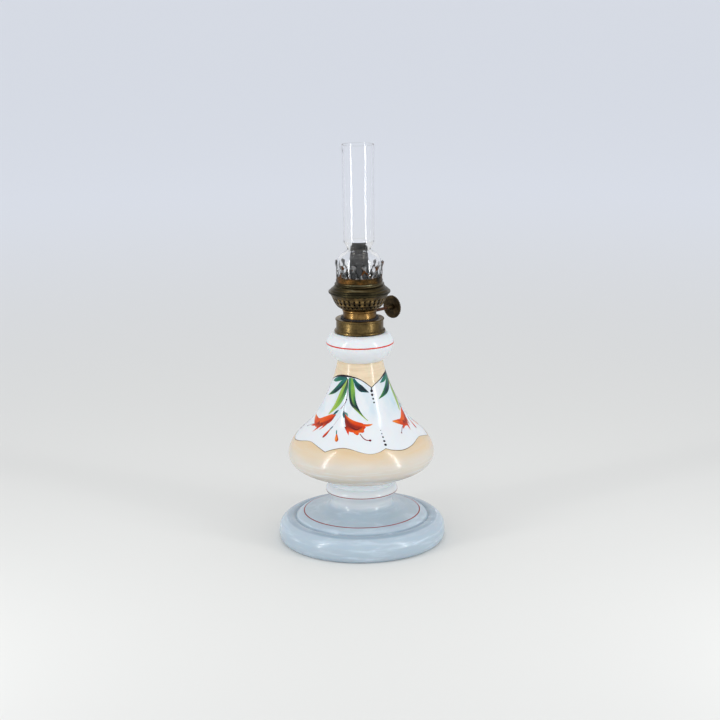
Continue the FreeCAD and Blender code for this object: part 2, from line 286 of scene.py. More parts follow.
def cotton():
    """Woven wick: upright ribs crossed by fine weft."""
    finish = Finish("cotton", Roughness=0.95, Sheen_Weight=0.2)
    ribs = finish.node("TexWave", {"Vector": finish.place(), "Scale": 480.0, "Distortion": 1.5,
                                   "Detail": 2.0}, wave_type="RINGS", rings_direction="Z")
    weft = finish.node("TexWave", {"Vector": finish.place(), "Scale": 520.0, "Distortion": 0.8},
                       bands_direction="Z")
    weave = finish.math("MULTIPLY", ribs.outputs["Fac"], weft.outputs["Fac"])
    finish.colour(finish.ramp(weave, (0.0, srgb(166, 156, 132)), (0.6, srgb(226, 218, 198))))
    finish.bump(weave, 0.8)
    return finish.material


def clear_glass():
    """Slightly streaky blown glass."""
    finish = Finish("clear_glass", Transmission_Weight=1.0, IOR=1.45, Roughness=0.0)
    finish.shader.inputs["Base Color"].default_value = (1.0, 1.0, 1.0, 1.0)
    ripples = finish.noise(60.0, 2.0, 0.4, finish.stretched(1.0, 1.0, 0.25))
    finish.bump(ripples, 0.035, 0.001)
    return finish.material


def opal(name):
    return Finish(name, Roughness=0.2, Coat_Weight=0.2, Coat_Roughness=0.08, IOR=1.5,
                  Subsurface_Weight=0.15, Subsurface_Scale=0.004)


def brush_streaks(finish, scale, flatten):
    """Fine level streaks left by a brush as the piece turned on a wheel."""
    return finish.noise(scale, 5.0, 0.6, finish.stretched(1.0, 1.0, flatten), 0.3)


FOOT_GROOVE_Z = 17.9
FOOT_GROOVE_SHADE_HALF = (0.9, 0.2)        # the painted shade in the groove fades in over this distance from its middle
FOOT_WHITE_Z = (28.0, 35.0)          # the blue thins to white between these heights


def blue_foot_glass():
    """Pale blue enamel brushed on the foot, thinning to white below the stem's knop; a darker blue in the
    groove is painted shade.
    """
    finish = opal("blue_foot_glass")
    height = finish.height_mm()
    streaks = brush_streaks(finish, 40.0, 9.0)
    blue = finish.ramp(streaks, (0.3, FOOT_SHADE), (0.5, FOOT_BLUE), (0.75, srgb(190, 206, 218)))
    # a darker blue round the groove is painted shade
    from_groove = finish.math("ABSOLUTE", finish.math("SUBTRACT", height, FOOT_GROOVE_Z))
    groove_shade = finish.math("MULTIPLY", finish.step(from_groove, *FOOT_GROOVE_SHADE_HALF), 0.45)
    blue = finish.mix(groove_shade, blue, srgb(112, 136, 156))
    ragged = finish.math("MULTIPLY_ADD", streaks, 4.0, height)
    finish.colour(finish.mix(finish.step(ragged, *FOOT_WHITE_Z), blue, WHITE_OPAL))
    finish.roughness(finish.ramp(streaks, (0.3, 0.2), (0.7, 0.28)))
    finish.bump(streaks, 0.05, 0.0002)
    return finish.material


# Painted borders, one panel: (bearing past the seam, height). Cusps are the entries marked True.
GARLAND = [(0, 124.4, True), (10, 126.6, False), (22, 128.6, False), (38, 131.0, False),
           (55, 132.2, False), (75, 132.3, False), (92, 131.2, False), (104, 129.1, False),
           (113, 126.7, False), (120, 124.4, True)]
HEM = [(0, 84.0, True), (6, 82.4, False), (16, 81.3, False), (27, 82.4, False), (40, 84.8, False),
       (48, 85.0, False), (58, 83.2, False), (66, 81.2, True), (72, 83.2, False), (80, 84.7, False),
       (88, 84.4, False), (100, 82.0, False), (106, 81.3, False), (113, 82.0, False), (120, 84.0, True)]
BORDER_LOW = 80.0                    # span of the curves that both borders are read from
BORDER_HIGH = 135.0
PEACH_LOW = 51.5                     # the belly's peach ends here
PEACH_HIGH = 142.2                   # groove under the neck bulge
BELLY_TONES_Z = (58.0, 94.0)         # the belly's peach changes tone between these heights
REFLECTION_BELT_LOW = (54.0, 58.0)              # painted reflection: white level streaks in a belt low on the belly, fading in and out
REFLECTION_BELT_HIGH = (72.0, 64.0)
WASH_LOW = (98.0, 110.0)             # blue wash behind the flowers, fading in and out
WASH_HIGH = (134.0, 126.0)


def border_height(finish, turn, border):
    """Height of a painted border, read off a curve that repeats with each panel."""
    made = finish.node("FloatCurve", {"Value": turn})
    curve = made.mapping.curves[0]
    span = BORDER_HIGH - BORDER_LOW
    spots = [(bearing / PANEL_TURN, (z - BORDER_LOW) / span, cusp) for bearing, z, cusp in border]
    while len(curve.points) < len(spots):
        curve.points.new(0.5, 0.5)
    for point, (x, y, cusp) in zip(curve.points, spots):
        point.location = (x, y)
        point.handle_type = "VECTOR" if cusp else "AUTO"
    made.mapping.update()
    return finish.math("MULTIPLY_ADD", made.outputs[0], span, BORDER_LOW)


def painted_opal():
    """White opal glass with peach grounds above the garland and below the hem."""
    finish = opal("painted_opal")
    seam = FRONT + math.radians(SEAM)
    panel = math.radians(PANEL_TURN)
    turn = finish.math("WRAP", finish.math("SUBTRACT", finish.polar(), seam), panel, 0.0)
    turn = finish.math("DIVIDE", turn, panel)
    height = finish.height_mm()
    above = finish.math("SUBTRACT", height, border_height(finish, turn, GARLAND))
    below = finish.math("SUBTRACT", border_height(finish, turn, HEM), height)

    streaks = brush_streaks(finish, 45.0, 10.0)
    broad = brush_streaks(finish, 9.0, 4.0)
    peach_top = finish.ramp(streaks, (0.35, PEACH), (0.7, srgb(225, 206, 177)))
    sweep = finish.math("MULTIPLY_ADD", broad, 16.0, height)
    depth = finish.ramp(finish.step(sweep, *BELLY_TONES_Z), (0.0, PEACH), (0.3, PEACH_PALE),
                        (0.62, PEACH_PALE), (0.85, PEACH), (1.0, PEACH_DEEP))
    peach_low = finish.mix(finish.ramp(streaks, (0.35, 0.0), (0.75, 0.3)), depth, PEACH_PALE)
    # white level streaks in a belt low on the belly: painted reflection
    thin = finish.ramp(brush_streaks(finish, 30.0, 16.0), (0.5, 0.0), (0.64, 0.75))
    reflection_belt = finish.zone(height, REFLECTION_BELT_LOW, REFLECTION_BELT_HIGH)
    peach_low = finish.mix(finish.math("MULTIPLY", thin, reflection_belt), peach_low, WHITE_OPAL)

    hairs = finish.noise(50.0, 4.0, 0.6, finish.stretched(1.0, 1.0, 0.2))
    zone = finish.zone(height, WASH_LOW, WASH_HIGH)
    wash = finish.math("MULTIPLY", finish.ramp(hairs, (0.42, 0.0), (0.64, 1.0)), zone)
    base = finish.mix(wash, WHITE_OPAL, BLUE_WASH)
    neck = finish.math("MULTIPLY", finish.step(above, -0.1, 0.15),
                       finish.step(finish.math("SUBTRACT", PEACH_HIGH, height), 0.0, 0.5))
    base = finish.mix(neck, base, peach_top)
    base = finish.mix(finish.step(below, -0.1, 0.2), base, peach_low)
    # below the peach the waist gets a brighter white: painted light in the belly's shade
    waist = finish.step(height, PEACH_LOW + 0.3, PEACH_LOW - 0.3)
    finish.colour(finish.mix(waist, base, WAIST_LIGHTENED_WHITE))
    finish.bump(streaks, 0.04, 0.0002)
    return finish.material


def enamel(name="enamel"):
    """Brush-laid enamel: its colours are painted on the strokes' points."""
    finish = Finish(name, Roughness=0.4, Specular_IOR_Level=0.25)
    paint = finish.node("VertexColor", layer_name="paint").outputs["Color"]
    fine = finish.noise(900.0, 3.0, 0.5)
    finish.colour(finish.mix(1.0, paint, finish.ramp(fine, (0.3, 0.88), (0.7, 1.06)), "MULTIPLY"))
    finish.bump(fine, 0.1, 0.0001)
    return finish.material


def assign(name, material):
    node = NODES[name]
    node.data.materials.clear()
    node.data.materials.append(material)


# ---------------------------------------------------------------- painting

CAST_FROM = 0.2                      # metres from the axis, outside every node
SLOPE_STEP = 0.8                     # millimetres up and down that show the glass's slope
STROKE_LIFT = 0.05                   # millimetres of enamel
STROKE_MIN_HALF = 0.02
BEAD_EDGE = 0.02                     # lift of a bead's rim
BEAD_LIFT = 0.14
BEAD_RINGS = 3
BEAD_SPOKES = 14
RING_TURNS = 240


class GlassSkin:
    """Finds points on a glass node's outside from a bearing and a height."""

    def __init__(self, node):
        mesh = node.data
        corners = [v.co.copy() for v in mesh.vertices]
        faces = [tuple(p.vertices) for p in mesh.polygons]
        self.tree = BVHTree.FromPolygons(corners, faces)

    def reach(self, bearing, z):
        angle = FRONT + math.radians(bearing)
        out = Vector((math.cos(angle), math.sin(angle), 0.0))
        start = out * CAST_FROM + Vector((0.0, 0.0, z * MM))
        return self.tree.ray_cast(start, -out)[0], out

    def point(self, bearing, z, lift):
        spot, out = self.reach(bearing, z)
        above, _ = self.reach(bearing, z + SLOPE_STEP)
        below, _ = self.reach(bearing, z - SLOPE_STEP)
        up = (above - below).normalized()
        around = Vector((0.0, 0.0, 1.0)).cross(out)
        normal = around.cross(up).normalized()
        return spot + normal * lift * MM, up, around


def catmull(points, count):
    """Evenly spaced samples of a smooth line through given points."""
    points = [Vector(p) for p in points]
    padded = [2 * points[0] - points[1]] + points + [2 * points[-1] - points[-2]]
    samples = []
    for i in range(count):
        t = i / (count - 1) * (len(points) - 1)
        k = min(int(t), len(points) - 2)
        f = t - k
        a, b, c, d = padded[k:k + 4]
        samples.append(0.5 * (2 * b + (c - a) * f + (2 * a - 5 * b + 4 * c - d) * f * f
                              + (3 * b - a - 3 * c + d) * f ** 3))
    return samples


def blend_colours(stops, t):
    for (t0, c0), (t1, c1) in zip(stops, stops[1:]):
        if t <= t1:
            f = (t - t0) / max(t1 - t0, 1e-6)
            return Vector(c0) * (1 - f) + Vector(c1) * f
    return Vector(stops[-1][1])


def ridge(lift, u):
    """Height of a rounded stroke, u being -1 to 1 across it."""
    return lift * (0.25 + math.sqrt(max(0.0, 1.0 - u * u)))


class Painting:
    """Collects raised strokes of enamel as one mesh on the glass."""

    def __init__(self, skin, turn):
        self.skin = skin
        self.turn = turn
        self.verts = []
        self.faces = []
        self.colours = []

    def stroke(self, route, colours, edge=None, across=8, lift=STROKE_LIFT, seed=0.0, streak=0.25):
        """route: (bearing, height, half width in mm); edge: colour towards one side or both."""
        steps = max(12, 7 * len(route))
        line = catmull(route, steps)
        first = len(self.verts)
        for i, spot in enumerate(line):
            t = i / (steps - 1)
            ahead = line[min(i + 1, steps - 1)] - line[max(i - 1, 0)]
            for u in self.stroke_row(spot, ahead, across, lift):
                self.colours.append(self.tint(colours, edge, t, u, seed, streak))
        for i in range(steps - 1):
            for j in range(across):
                a = first + i * (across + 1) + j
                self.faces.append((a, a + 1, a + across + 2, a + across + 1))

    def stroke_row(self, spot, ahead, across, lift):
        """Points across a stroke that runs along ahead; returns each one's share across, -1 to 1."""
        bearing, z, half = spot
        half = max(half, STROKE_MIN_HALF)
        base, up, around = self.skin.point(bearing + self.turn, z, 0.0)
        radius = math.hypot(base.x, base.y) / MM
        run = around * math.radians(ahead.x) * radius + up * ahead.y / max(up.z, 0.3)
        side = run.cross(around.cross(up)).normalized()
        mm_to_bearing = math.degrees(1.0 / radius)
        shares = [2.0 * j / across - 1.0 for j in range(across + 1)]
        for u in shares:
            shift = side * u * half
            at_bearing = bearing + shift.dot(around) * mm_to_bearing
            at_z = z + shift.dot(up) * up.z
            point, _, _ = self.skin.point(at_bearing + self.turn, at_z, ridge(lift, u))
            self.verts.append(point)
        return shares

    def ribbon(self, first_edge, second_edge, bands, seed=0.0):
        """Fill between two edges of (bearing, height); bands: (share across, colours along)."""
        rows = 26
        across = 10
        left = catmull([(b, z, 0.0) for b, z in first_edge], rows)
        right = catmull([(b, z, 0.0) for b, z in second_edge], rows)
        first = len(self.verts)
        for i, (a, b) in enumerate(zip(left, right)):
            t = i / (rows - 1)
            for j in range(across + 1):
                u = j / across
                spot = a * (1 - u) + b * u
                swell = ridge(STROKE_LIFT, 2 * u - 1)
                point, _, _ = self.skin.point(spot.x + self.turn, spot.y, swell)
                self.verts.append(point)
                tones = [(share, blend_colours(colours, t)) for share, colours in bands]
                hairs = noise.noise(Vector((u * 6.0 + seed, t * 1.5, seed)))
                self.colours.append(blend_colours(tones, u) * (1.0 + 0.22 * hairs))
        for i in range(rows - 1):
            for j in range(across):
                a = first + i * (across + 1) + j
                self.faces.append((a, a + across + 1, a + across + 2, a + 1))

    def tint(self, colours, edge, t, u, seed, streak):
        colour = blend_colours(colours, t)
        if edge:
            rim, side = edge
            reach = u * side if side else abs(u)
            amount = min(1.0, max(0.0, (reach - 0.1) / 0.7))
            colour = colour * (1 - amount) + Vector(blend_colours(rim, t)) * amount
        hairs = noise.noise(Vector((u * 3.1 + seed, t * 1.3, seed)))
        return colour * (1.0 + streak * hairs)

    def dot(self, bearing, z, radius, colour):
        """Round bead of enamel."""
        spot, up, _ = self.skin.point(bearing + self.turn, z, 0.0)
        centre = len(self.verts)
        top, _, _ = self.skin.point(bearing + self.turn, z, BEAD_EDGE + BEAD_LIFT)
        self.verts.append(top)
        self.colours.append(Vector(colour))
        girth = math.hypot(spot.x, spot.y) / MM
        for ring in range(1, BEAD_RINGS + 1):
            share = ring / BEAD_RINGS
            for k in range(BEAD_SPOKES):
                angle = 2 * math.pi * k / BEAD_SPOKES
                at_bearing = bearing + math.degrees(radius * share * math.cos(angle) / girth)
                at_z = z + radius * share * math.sin(angle) * up.z
                lift = BEAD_EDGE + BEAD_LIFT * math.sqrt(max(0.0, 1 - share * share))
                point, _, _ = self.skin.point(at_bearing + self.turn, at_z, lift)
                self.verts.append(point)
                self.colours.append(Vector(colour))
        for k in range(BEAD_SPOKES):
            after = (k + 1) % BEAD_SPOKES
            self.faces.append((centre, centre + 1 + k, centre + 1 + after))
            for ring in range(BEAD_RINGS - 1):
                a = centre + 1 + ring * BEAD_SPOKES
                self.faces.append((a + k, a + BEAD_SPOKES + k, a + BEAD_SPOKES + after, a + after))

    def finish(self, name, material, slot="painted_opal"):
        piece = mesh_piece(name, self.verts, self.faces, material)
        layer = piece.data.color_attributes.new("paint", "FLOAT_COLOR", "POINT")
        for entry, colour in zip(layer.data, self.colours):
            entry.color = (max(colour[0], 0.0), max(colour[1], 0.0), max(colour[2], 0.0), 1.0)
        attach(piece, "root")


def mesh_piece(name, verts, faces, material, smooth=True):
    mesh = bpy.data.meshes.new(name)
    mesh.from_pydata([tuple(v) for v in verts], [], faces)
    mesh.update()
    if smooth:
        mesh.shade_smooth()
    else:
        mesh.shade_flat()
    piece = bpy.data.objects.new(name, mesh)
    bpy.context.scene.collection.objects.link(piece)
    mesh.materials.append(material)
    return piece


def rgb(r, g, b):
    return srgb(r, g, b)[:3]


TEAL = rgb(24, 98, 96)
TEAL_DARK = rgb(14, 48, 62)
GREEN = rgb(30, 112, 70)
LEAF_LIGHT = rgb(122, 168, 66)
YELLOW_GREEN = rgb(166, 184, 84)
NIGHT_GREEN = rgb(14, 34, 42)
RED = rgb(204, 56, 4)
RED_ORANGE = rgb(216, 88, 10)
RED_DARK = rgb(120, 20, 6)
ORANGE = rgb(224, 132, 36)
STEM = rgb(96, 68, 84)
LINE_BLACK = rgb(26, 16, 28)
HEM_LINE = rgb(104, 84, 54)
RING_RED = rgb(204, 50, 26)
RING_DARK_RED = rgb(140, 30, 26)


def along(*colours):
    """Colours spaced evenly along a ribbon."""
    return [(i / (len(colours) - 1), colour) for i, colour in enumerate(colours)]


def paint_leaves(art, reach):
    """Five leaves fanned out below the arch; the second leaf's tip swings by reach degrees."""
    art.ribbon([(-33, 132.0), (-50, 131.4), (-64, 129.6), (-76, 126.6)],
               [(-31, 130.6), (-48, 128.2), (-62, 126.6), (-76, 126.4)],
               [(0, along(TEAL_DARK, TEAL, TEAL)), (1, along(TEAL, GREEN, rgb(60, 130, 112)))], seed=1)
    art.ribbon([(-31, 131.6), (-45 - reach * .3, 128.2), (-58 - reach * .7, 122.4), (-73.5 - reach, 116.0)],
               [(-27, 129.8), (-38, 124.6), (-53 - reach * .5, 118.9), (-73 - reach, 115.6)],
               [(0, along(TEAL, GREEN, GREEN, LEAF_LIGHT)), (.45, along(TEAL, TEAL, TEAL_DARK, GREEN)),
                (.8, along(TEAL_DARK, NIGHT_GREEN, NIGHT_GREEN, GREEN)),
                (1, along(TEAL, TEAL_DARK, GREEN, LEAF_LIGHT))], seed=2)
    art.ribbon([(-30.5, 131.2), (-37.5, 126.4), (-42.4, 119.3), (-45.6, 111.9), (-51, 104.2)],
               [(-26.8, 130.4), (-26.6, 123.4), (-30.8, 115.8), (-38.6, 109.4), (-50.2, 103.6)],
               [(0, along(GREEN, YELLOW_GREEN, YELLOW_GREEN, YELLOW_GREEN)),
                (.4, along(YELLOW_GREEN, LEAF_LIGHT, LEAF_LIGHT, YELLOW_GREEN)),
                (.62, along(NIGHT_GREEN, NIGHT_GREEN, LEAF_LIGHT, YELLOW_GREEN)),
                (.8, along(NIGHT_GREEN, GREEN, LEAF_LIGHT, YELLOW_GREEN)),
                (1, along(GREEN, GREEN, LEAF_LIGHT, YELLOW_GREEN))], seed=3)
    art.ribbon([(-26.3, 131.4), (-24.6, 124.2), (-20.6, 117.2), (-15.8, 112.4), (-4.5, 107.6), (9, 101.6)],
               [(-17, 131.5), (-11.2, 123.4), (-8.6, 116.4), (-3.4, 110.6), (2.4, 106.0), (9.6, 102.0)],
               [(0, along(GREEN, GREEN, TEAL_DARK, NIGHT_GREEN, YELLOW_GREEN, YELLOW_GREEN)),
                (.3, along(GREEN, rgb(24, 110, 62), NIGHT_GREEN, NIGHT_GREEN, LEAF_LIGHT, YELLOW_GREEN)),
                (.5, along(GREEN, LEAF_LIGHT, LEAF_LIGHT, NIGHT_GREEN, LEAF_LIGHT, YELLOW_GREEN)),
                (.75, along(LEAF_LIGHT, LEAF_LIGHT, GREEN, NIGHT_GREEN, NIGHT_GREEN, YELLOW_GREEN)),
                (1, along(GREEN, LEAF_LIGHT, NIGHT_GREEN, NIGHT_GREEN, GREEN, YELLOW_GREEN))], seed=5)
    art.ribbon([(-16.8, 130.3), (-9.5, 125.0), (-1.0, 121.9), (5.5, 121.4), (15.4, 121.0)],
               [(-14.5, 131.7), (-4.8, 128.2), (2.4, 126.4), (8.6, 124.2), (15.4, 121.4)],
               [(0, along(GREEN, TEAL, TEAL_DARK, TEAL, TEAL)),
                (.4, along(TEAL, TEAL_DARK, NIGHT_GREEN, NIGHT_GREEN, NIGHT_GREEN)),
                (1, along(TEAL, TEAL, NIGHT_GREEN, NIGHT_GREEN, TEAL_DARK))], seed=7)


def paint_stems(art):
    thin = .2
    art.stroke([(-27.5, 130, thin), (-25.5, 122.4, thin), (-25, 116, thin), (-28, 112.1, .2),
                (-31.8, 109, .25)], [(0, STEM), (.6, STEM), (1, rgb(160, 60, 60))], lift=0.07)
    art.stroke([(-24.6, 115, .12), (-26.6, 111.2, .14), (-25.8, 107.8, .2)],
               [(0, STEM), (1, TEAL_DARK)], lift=0.07)
    art.stroke([(-29.2, 104.7, .1), (-32.6, 100.8, .12), (-36.2, 97, .1)],
               [(0, rgb(170, 160, 176)), (1, rgb(150, 130, 150))], lift=0.04)
    art.dot(-25, 115.8, .62, LINE_BLACK)


def paint_left_flower(art, spread):
    """Flower seen from its side; spread scales its width towards the left."""
    def at(*spots):
        return [(-37 + (bearing + 37) * spread, *rest) for bearing, *rest in spots]

    art.stroke(at((-35, 108.1, .3), (-38, 106.4, .9), (-41.5, 104.4, .6)),
               along(TEAL_DARK, TEAL), lift=0.09, seed=8)
    art.ribbon(at((-38, 105.4), (-46, 104.2), (-57, 101.4), (-66, 99.2), (-74, 99.4), (-86, 99.6)),
               at((-37, 104.6), (-42, 99.2), (-52, 95.6), (-62, 93.6), (-72, 95.4), (-86, 98.8)),
               [(0, along(RED, RED_ORANGE, RED_ORANGE, RED, ORANGE)),
                (.5, along(RED, RED, RED_ORANGE, RED, ORANGE)),
                (.75, along(RED_DARK, RED_DARK, RED_DARK, RED, ORANGE)),
                (1, along(RED_DARK, RED, RED_ORANGE, RED, ORANGE))], seed=9)
    for tip in ([(-60, 97, 1.8), (-68, 94.4, 1.1), (-74, 92.8, .05)],
                [(-54, 97, 1.8), (-58, 93.6, 1.1), (-61, 90.4, .05)],
                [(-46, 99, 1.2), (-50, 95.4, .8), (-53, 92.6, .05)]):
        art.stroke(at(*tip), along(RED_DARK, RED, RED_ORANGE), lift=0.07, seed=10)
    art.stroke(at((-67, 95.2, .18), (-75, 93.4, .22), (-81, 91.2, .26)), along(RED_DARK, STEM), lift=0.06)
    end_bearing, end_z = at((-81.5, 91))[0]
    art.dot(end_bearing, end_z, .6, RED_DARK)


def paint_right_flower(art):
    """Open bell facing down to the right, with a dark throat and one long petal."""
    art.stroke([(-25.8, 107.8, .5), (-24.8, 105.8, 1.0), (-23.4, 103.4, .4)],
               along(TEAL_DARK, TEAL), lift=0.09, seed=11)
    art.stroke([(-23.5, 107.2, .2), (-20.6, 106, .9), (-18.2, 104.4, .2)],
               along(TEAL, rgb(120, 170, 156)), lift=0.07, seed=12)
    art.ribbon([(-23.4, 106.0), (-21.6, 101.6), (-18.6, 97.6), (-14.2, 95.0), (-6, 94.2), (0, 94.4)],
               [(-22.4, 106.2), (-16.5, 103.8), (-9.8, 102.2), (-3.7, 101.2), (2.6, 100.2), (6, 97.6)],
               [(0, along(RED_DARK, RED_DARK, RED, RED_ORANGE, RED_ORANGE)),
                (.3, along(RED_DARK, RED_DARK, RED_DARK, RED, RED_ORANGE)),
                (.55, along(RED, RED_DARK, RED_DARK, RED_DARK, RED)),
                (.72, along(RED_ORANGE, RED_ORANGE, RED, RED, RED)),
                (1, along(RED, RED_ORANGE, RED_ORANGE, RED, RED))], seed=13)
    art.stroke([(-2, 99.4, 1.1), (6, 98.9, .95), (11, 99.0, .75), (14.6, 99.4, .2)],
               along(RED, RED_ORANGE, ORANGE), lift=0.08, seed=15)
    art.stroke([(-18.2, 98, 1.5), (-15.6, 95.4, 1.1), (-13.6, 92.6, .05)],
               along(RED_DARK, RED, RED), lift=0.08, seed=16)
    art.stroke([(-8.6, 96.4, 1.8), (-5.2, 94.4, 1.8), (-3.2, 93.0, .7)],
               along(RED, RED_ORANGE, RED), lift=0.08, seed=17)
    art.stroke([(-1.6, 97.4, 2.2), (1.0, 95.6, 1.9), (3.0, 94.6, .8)],
               along(RED_DARK, RED_ORANGE, RED), lift=0.08, seed=18)
    art.stroke([(-15.4, 99.0, .4), (-10.4, 97.2, .8), (-5.4, 96.2, .8), (-1.2, 97.2, .3)],
               along(RED_DARK, rgb(96, 14, 12), RED_DARK), lift=0.11, seed=14)
    art.stroke([(-1.2, 93.6, .3), (2.5, 90.9, .38), (5.5, 89.8, .4), (8.3, 89.5, .45)],
               along(RED_DARK, rgb(130, 12, 40)), lift=0.08)
    art.dot(9.0, 89.5, .95, rgb(110, 8, 34))


def paint_buds(art):
    art.stroke([(-35.6, 97, .25), (-37, 95.8, .5), (-38.4, 94.5, .35)], [(0, TEAL_DARK), (1, TEAL)])
    art.stroke([(-37.9, 94.9, .4), (-39.8, 92.2, 1.0), (-41.2, 90.2, 1.1), (-41.8, 89.2, .4)],
               [(0, RED_ORANGE), (.6, RED), (1, RED_DARK)],
               ([(0, RED_DARK), (1, RED_DARK)], -1), lift=0.08, seed=16)
    art.stroke([(-29.4, 95.1, .2), (-28.5, 94, .45), (-27.3, 92.2, .4)],
               [(0, rgb(60, 130, 120)), (1, TEAL)])
    art.stroke([(-27.3, 92.6, .45), (-26.2, 90.8, 1.1), (-25, 89.2, 1.35), (-24.5, 88.2, .5)],
               [(0, RED_ORANGE), (.5, ORANGE), (1, RED)],
               ([(0, RED), (1, RED_DARK)], -1), lift=0.08, seed=17)


def paint_seam(art):
    upper = [(SEAM - .6, 122.0, 1.12), (SEAM - .6, 119.2, 1.0), (SEAM, 116.4, .76), (SEAM + .4, 113.8, .7)]
    lower = [(SEAM + .9, 94.9, .36), (SEAM + 1.1, 92.9, .52), (SEAM + 1.1, 90.8, .72),
             (SEAM + 1, 88.4, .92), (SEAM + .9, 86.2, 1.05)]
    for bearing, z, radius in upper + lower:
        art.dot(bearing, z, radius, LINE_BLACK)
    art.stroke([(SEAM, 124.8, .3), (SEAM - .2, 123.6, .45), (SEAM - .3, 122.6, .1)],
               along(LINE_BLACK, LINE_BLACK))


def paint_border(art, border, half_widths, colour):
    """Line laid along a border, from seam to seam; cusps stay sharp."""
    legs = []
    leg = []
    for spot in border:
        leg.append(spot)
        if spot[2] and len(leg) > 1:
            legs.append(leg)
            leg = [spot]
    for leg in legs:
        route = [(SEAM + bearing, z, half_widths(bearing)) for bearing, z, _ in leg]
        art.stroke(route, [(0, colour), (1, colour)], across=4, streak=0.5, seed=leg[0][0])


def garland_half(bearing):
    """Thick along the arch, thin where two panels meet."""
    return 0.3 + 0.55 * math.sin(math.pi * min(max((bearing - 15) / 85.0, 0.0), 1.0)) ** 2


def hem_half(bearing):
    return 0.2 + 0.08 * math.sin(math.radians(bearing * 6.0))


# Hand painting differs a little from panel to panel
LEAF_REACH = (0.0, 14.0, 6.0)        # degrees that one leaf's tip swings
FLOWER_SPREAD = (1.0, 0.8, 0.9)


def ring_faces(turns, rows):
    """Faces of a closed band whose points run up each of its turns in order."""
    faces = []
    for k in range(turns):
        for j in range(rows - 1):
            a = k * rows + j
            b = (k + 1) % turns * rows + j
            faces.append((a, b, b + 1, a + 1))
    return faces


def painted_ring(name, node, z_low, z_high, colour, material):
    """Thin band of enamel round the glass."""
    rows = ((z_low, 0.02), ((z_low + z_high) / 2, 0.08), (z_high, 0.02))
    skin = GlassSkin(NODES[node])
    art = Painting(skin, 0.0)
    for k in range(RING_TURNS):
        for z, lift in rows:
            point, _, _ = skin.point(360.0 * k / RING_TURNS, z, lift)
            art.verts.append(point)
            art.colours.append(Vector(colour) * (1.0 + 0.3 * noise.noise(point * 90.0)))
    art.faces += ring_faces(RING_TURNS, len(rows))
    slot = "painted_opal" if node == "glass_fount" else "blue_opal"
    art.finish(name, material, slot)


def paint_rings():
    material = enamel("ring_enamel")
    painted_ring("neck_ring", "glass_fount", 154.7, 155.7, RING_RED, material)
    painted_ring("knop_ring", "glass_foot", 38.6, 39.2, RING_DARK_RED, material)
    painted_ring("tier_ring", "glass_foot", 21.62, 21.86, RING_DARK_RED, material)


def paint_panels():
    skin = GlassSkin(NODES["glass_fount"])
    material = enamel()
    for panel in range(PANELS):
        art = Painting(skin, PANEL_TURN * panel)
        paint_leaves(art, LEAF_REACH[panel])
        paint_stems(art)
        paint_left_flower(art, FLOWER_SPREAD[panel])
        paint_right_flower(art)
        paint_buds(art)
        paint_seam(art)
        paint_border(art, GARLAND, garland_half, LINE_BLACK)
        paint_border(art, HEM, hem_half, HEM_LINE)
        art.finish(f"painted_panel_{panel + 1}", material)


# ---------------------------------------------------------------- crown

CROWN_R = 0.0169
PRONGS = 12
BAND_TURNS = 96
CROWN_SHEET = 0.00035
PRONG_SHORTER = 3.2                  # most that one prong ends below the tallest
# One prong from its root: height, half width of the leaf, half width of its eye (all in mm)
PRONG_ROWS = [(205.4, 4.3, 0.0), (206.2, 4.3, 1.2), (207.2, 4.1, 2.2), (208.4, 3.6, 2.3), (209.6, 2.9, 1.9),
              (210.8, 2.2, 1.1), (211.6, 1.7, 0.2), (212.6, 1.2, 0.0), (213.6, 1.15, 0.0),
              (214.7, 1.9, 0.0), (215.8, 2.4, 0.0), (216.9, 2.1, 0.0), (217.9, 0.9, 0.0)]
# Height, and millimetres beyond CROWN_R
CROWN_BAND = [(201.8, 0.0), (202.3, 0.35), (202.9, 0.45), (203.4, 0.1), (204.4, 0.0), (205.6, 0.0)]


def crown_point(angle, across, z, out):
    """Point on the crown: across is in mm round the ring, out is in mm beyond its radius."""
    radius = CROWN_R + out * MM
    turn = angle + across * MM / radius
    return (radius * math.cos(turn), radius * math.sin(turn), z * MM)


def prong_mesh(angle, chance, verts, faces):
    """Add one prong with its own bend, twist and width."""
    top = PRONG_ROWS[-1][0] - chance.uniform(0.0, PRONG_SHORTER)
    bend = chance.uniform(1.1, 2.7)
    twist = chance.uniform(-1.0, 1.0)
    sway = chance.uniform(-0.9, 0.9)
    slim = chance.uniform(0.72, 1.0)
    root = PRONG_ROWS[0][0]
    first = len(verts)
    for z, half, eye in PRONG_ROWS:
        share = (z - root) / (PRONG_ROWS[-1][0] - root)
        z = root + share * (top - root)
        half *= 1 - (1 - slim) * share
        for across in (-half, -max(eye, 0.01), max(eye, 0.01), half):
            out = bend * share ** 3 + 0.15 * share + twist * share * across / 4.0
            verts.append(crown_point(angle, across + sway * share, z, max(out, 0.0)))
    for i in range(len(PRONG_ROWS) - 1):
        a = first + 4 * i
        faces.append((a, a + 1, a + 5, a + 4))
        faces.append((a + 2, a + 3, a + 7, a + 6))
        if PRONG_ROWS[i][2] == 0.0 or PRONG_ROWS[i + 1][2] == 0.0:
            faces.append((a + 1, a + 2, a + 6, a + 5))


